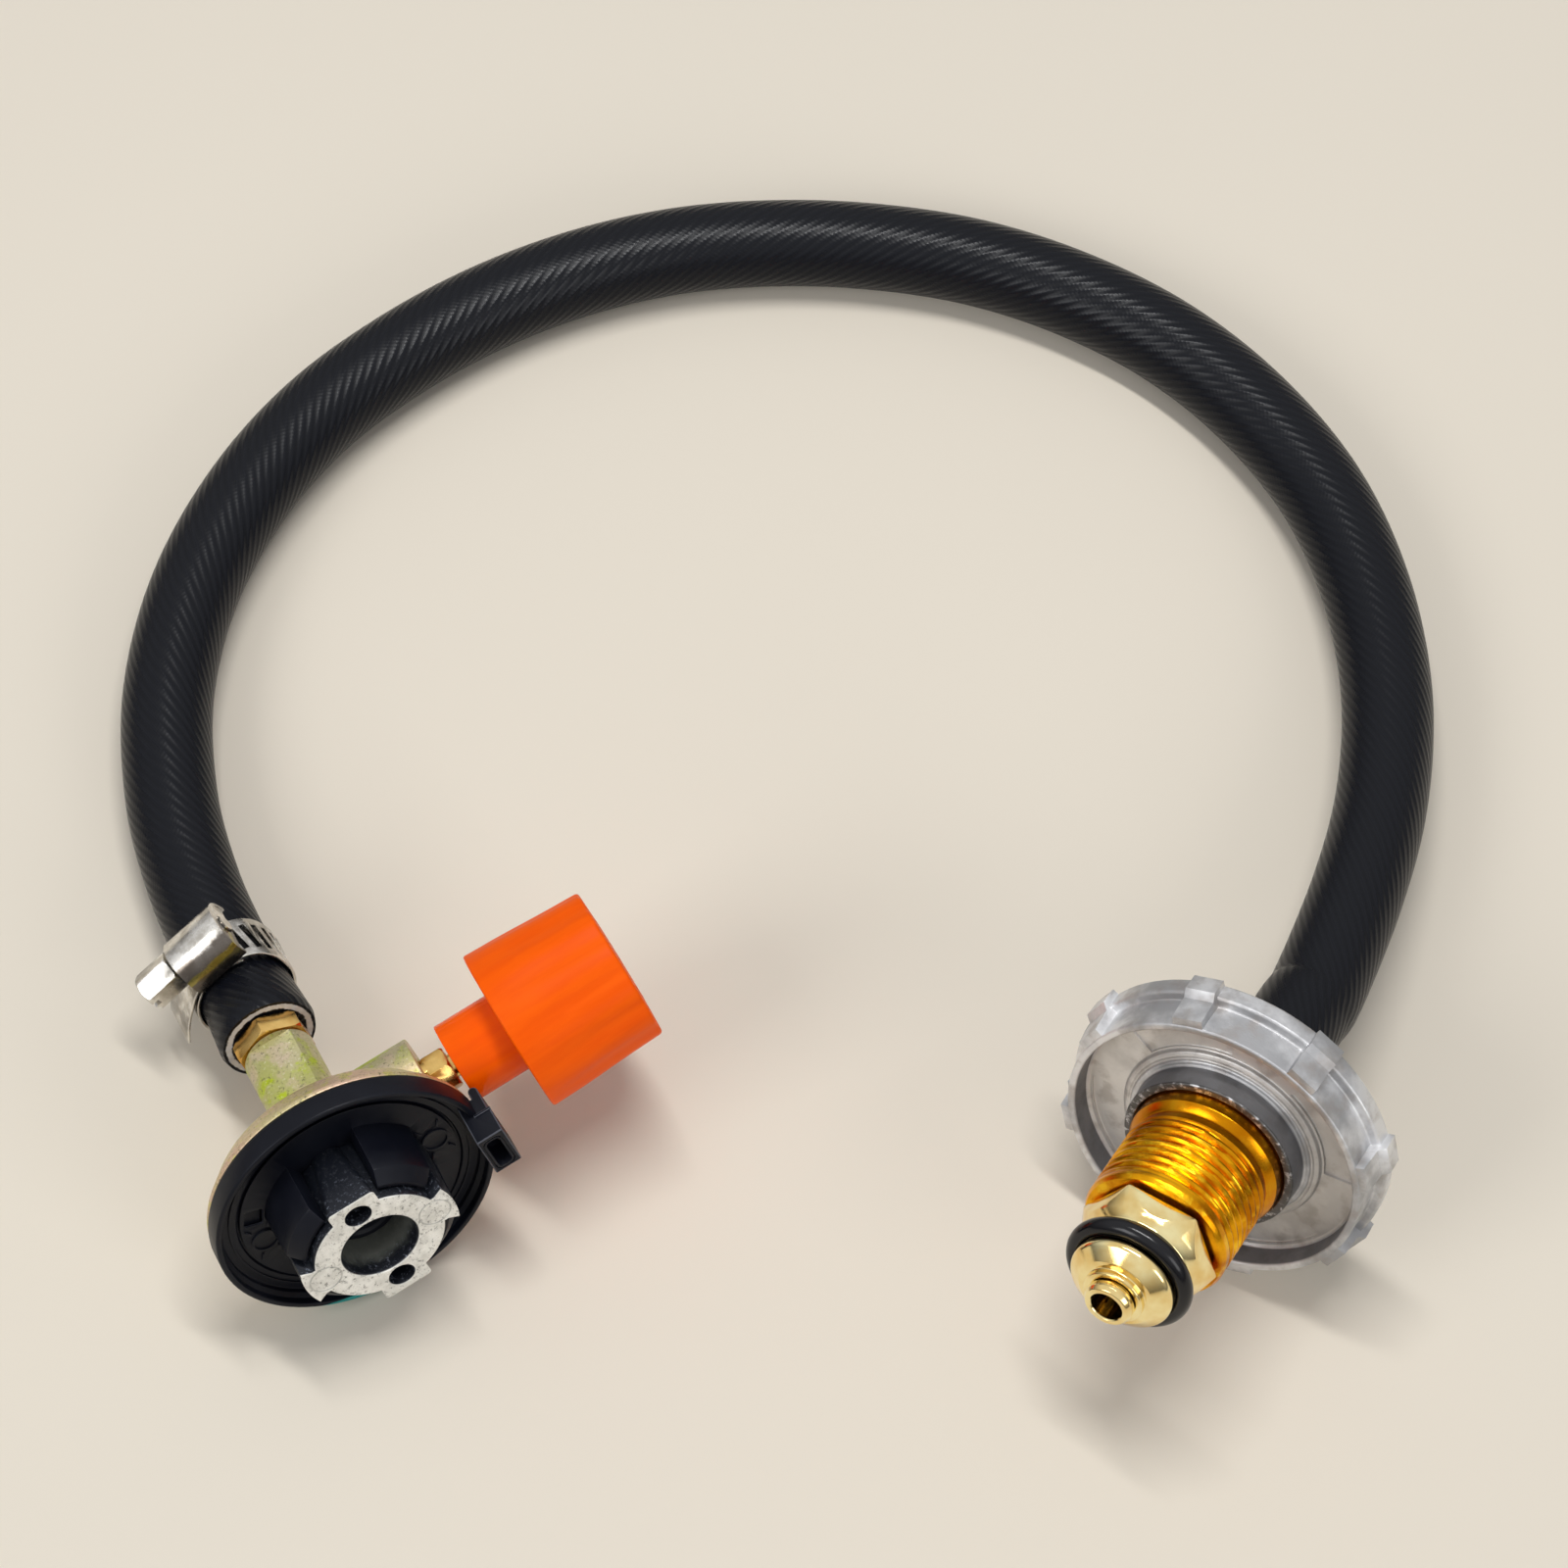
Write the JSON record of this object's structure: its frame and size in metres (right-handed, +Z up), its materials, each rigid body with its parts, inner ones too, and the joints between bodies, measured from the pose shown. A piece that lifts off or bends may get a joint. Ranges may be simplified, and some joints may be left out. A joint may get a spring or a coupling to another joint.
{
  "type": "gas cylinder adapter hose with hand valve",
  "caption": "Black rubber gas hose in an open loop, with a knob-operated cartridge valve head at one end and a handwheel cylinder fitting at the other.",
  "frame": {"origin": "the point of the table under the centre of the bounding box of everything but the hose", "axes": "+Z up from the table, +X from the valve head towards the handwheel, +Y from the two ends towards the far side of the hose's loop"},
  "size_m": [0.2077, 0.2132, 0.0504],
  "materials": {
    "zinc_yellow": "yellow-chromated die-cast zinc, slightly grainy",
    "zinc": "bare die-cast zinc, tumbled",
    "black_plastic": "satin",
    "orange_plastic": "smooth, low gloss",
    "brass": "machined",
    "amber_gold": "machined, amber passivated",
    "pale_gold": "polished",
    "bright_steel": "bright stainless",
    "sintered_bronze": "porous",
    "black_rubber": "cloth-marked, satin"
  },
  "bodies": {
    "hose_assembly": {"valve_body": "zinc_yellow", "centre_boss": "zinc", "boss_screw_lower": "bright_steel", "boss_screw_upper": "bright_steel", "boss_gasket": "black_rubber", "inlet_seal": "black_rubber", "inlet_pin": "brass", "inlet_filter": "sintered_bronze", "guide_collar": "black_plastic", "spindle_seal": "black_rubber", "gland_nut": "brass", "hose_barb": "brass", "hose": "black_rubber", "clamp_band": "bright_steel", "clamp_housing": "bright_steel", "ferrule": "bright_steel", "pol_nipple": "pale_gold", "pol_o_ring": "black_rubber", "nose_bush": "pale_gold"},
    "valve_knob": {"knob": "orange_plastic", "spindle": "brass"},
    "locking_ring": {"lock_ring": "black_plastic"},
    "wheel_and_nut": {"handwheel": "zinc", "pol_nut": "amber_gold"},
    "band_screw": {"clamp_screw": "bright_steel"},
    "ball": {"check_ball": "bright_steel"}
  },
  "joints": [
    {"name": "knob_turn", "type": "hinge", "parent": "hose_assembly", "child": "valve_knob", "pos_m": [-0.06299, -0.00234, 0.01961], "axis": [0.8509, 0.4824, 0.2079], "range_deg": [0, 540]},
    {"name": "lock_ring_turn", "type": "hinge", "parent": "hose_assembly", "child": "locking_ring", "pos_m": [-0.05765, -0.01309, 0.02272], "axis": [0.4305, -0.8672, 0.2504], "range_deg": [0, 25]},
    {"name": "handwheel_spin", "type": "hinge", "parent": "hose_assembly", "child": "wheel_and_nut", "pos_m": [0.06876, -0.00316, 0.02533], "axis": [-0.4879, -0.8282, 0.2756], "continuous": true},
    {"name": "clamp_screw_spin", "type": "hinge", "parent": "hose_assembly", "child": "band_screw", "pos_m": [-0.08319, 0.03011, 0.02054], "axis": [-0.735, -0.4978, -0.4605], "continuous": true},
    {"name": "ball_travel", "type": "slide", "parent": "hose_assembly", "child": "ball", "axis": [-0.4879, -0.8282, 0.2756], "range_m": [0, 0.0028]}
  ]
}
